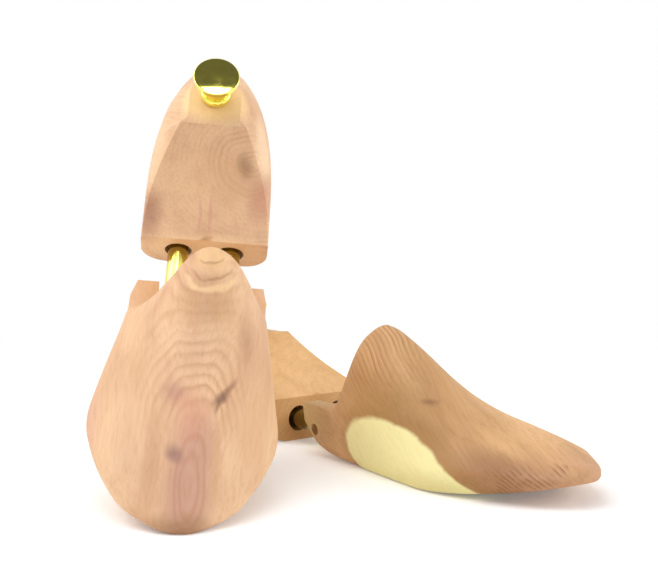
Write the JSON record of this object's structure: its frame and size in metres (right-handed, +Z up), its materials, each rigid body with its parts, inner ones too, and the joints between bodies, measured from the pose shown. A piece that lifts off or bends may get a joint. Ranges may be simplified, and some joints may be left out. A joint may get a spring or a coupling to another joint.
{
  "type": "pair of shoe trees",
  "caption": "Pair of sprung cedar shoe trees, each with a heel block that slides on brass tubes, folds up on a wooden hinge and has a brass knob.",
  "frame": {"origin": "point on the sole of the lying tree's heel block, half way along its length and half way across", "axes": "+X runs from the lying tree's heel towards its toe, +Z is up, and the sole lies on the XY plane"},
  "size_m": [0.2868, 0.2054, 0.1923],
  "materials": {
    "right_forepart": "sanded, unvarnished",
    "right_hinge_barrel": "sanded, unvarnished",
    "right_hinge_pin": "plain steel",
    "right_tube_inner": "polished",
    "right_tube_outer": "polished",
    "right_heel_block": "sanded, unvarnished",
    "right_spring_inner": "plain steel",
    "right_spring_outer": "plain steel",
    "right_stop_pin_inner": "plain steel",
    "right_stop_pin_outer": "plain steel",
    "right_knob": "polished",
    "right_knob_screw": "plain steel",
    "left_forepart": "sanded, unvarnished",
    "left_hinge_barrel": "sanded, unvarnished",
    "left_hinge_pin": "plain steel",
    "left_tube_inner": "polished",
    "left_tube_outer": "polished",
    "left_heel_block": "sanded, unvarnished",
    "left_spring_inner": "plain steel",
    "left_spring_outer": "plain steel",
    "left_stop_pin_inner": "plain steel",
    "left_stop_pin_outer": "plain steel",
    "left_knob": "polished",
    "left_knob_screw": "plain steel"
  },
  "bodies": {
    "right_forepart": {"right_forepart": "right_forepart"},
    "right_hinge": {"right_hinge_barrel": "right_hinge_barrel", "right_hinge_pin": "right_hinge_pin", "right_tube_inner": "right_tube_inner", "right_tube_outer": "right_tube_outer"},
    "right_heel": {"right_heel_block": "right_heel_block", "right_spring_inner": "right_spring_inner", "right_spring_outer": "right_spring_outer", "right_stop_pin_inner": "right_stop_pin_inner", "right_stop_pin_outer": "right_stop_pin_outer", "right_knob": "right_knob", "right_knob_screw": "right_knob_screw"},
    "left_forepart": {"left_forepart": "left_forepart"},
    "left_hinge": {"left_hinge_barrel": "left_hinge_barrel", "left_hinge_pin": "left_hinge_pin", "left_tube_inner": "left_tube_inner", "left_tube_outer": "left_tube_outer"},
    "left_heel": {"left_heel_block": "left_heel_block", "left_spring_inner": "left_spring_inner", "left_spring_outer": "left_spring_outer", "left_stop_pin_inner": "left_stop_pin_inner", "left_stop_pin_outer": "left_stop_pin_outer", "left_knob": "left_knob", "left_knob_screw": "left_knob_screw"}
  },
  "joints": [
    {"name": "right_heel_fold", "type": "hinge", "parent": "right_forepart", "child": "right_hinge", "pos_m": [0.0898, 0, 0.013], "axis": [0, 1, 0], "range_deg": [0, 34]},
    {"name": "right_heel_slide", "type": "slide", "parent": "right_hinge", "child": "right_heel", "axis": [1, 0, 0], "range_m": [0, 0.012], "stiffness_N_per_m": 900, "springref_m": -0.012, "deforming": ["right_spring_inner", "right_spring_outer"]},
    {"name": "left_lift", "type": "slide", "parent": "right_forepart", "child": "left_forepart", "axis": [0, 0, 1], "range_m": [0, 0.25]},
    {"name": "left_heel_fold", "type": "hinge", "parent": "left_forepart", "child": "left_hinge", "pos_m": [0.06093, -0.07713, 0.06767], "axis": [0.548, 0.8326, -0.0809], "range_deg": [-30.2, 3.8]},
    {"name": "left_heel_slide", "type": "slide", "parent": "left_hinge", "child": "left_heel", "axis": [0.4164, -0.3554, -0.8368], "range_m": [0, 0.012], "stiffness_N_per_m": 900, "springref_m": -0.012, "deforming": ["left_spring_inner", "left_spring_outer"]}
  ]
}
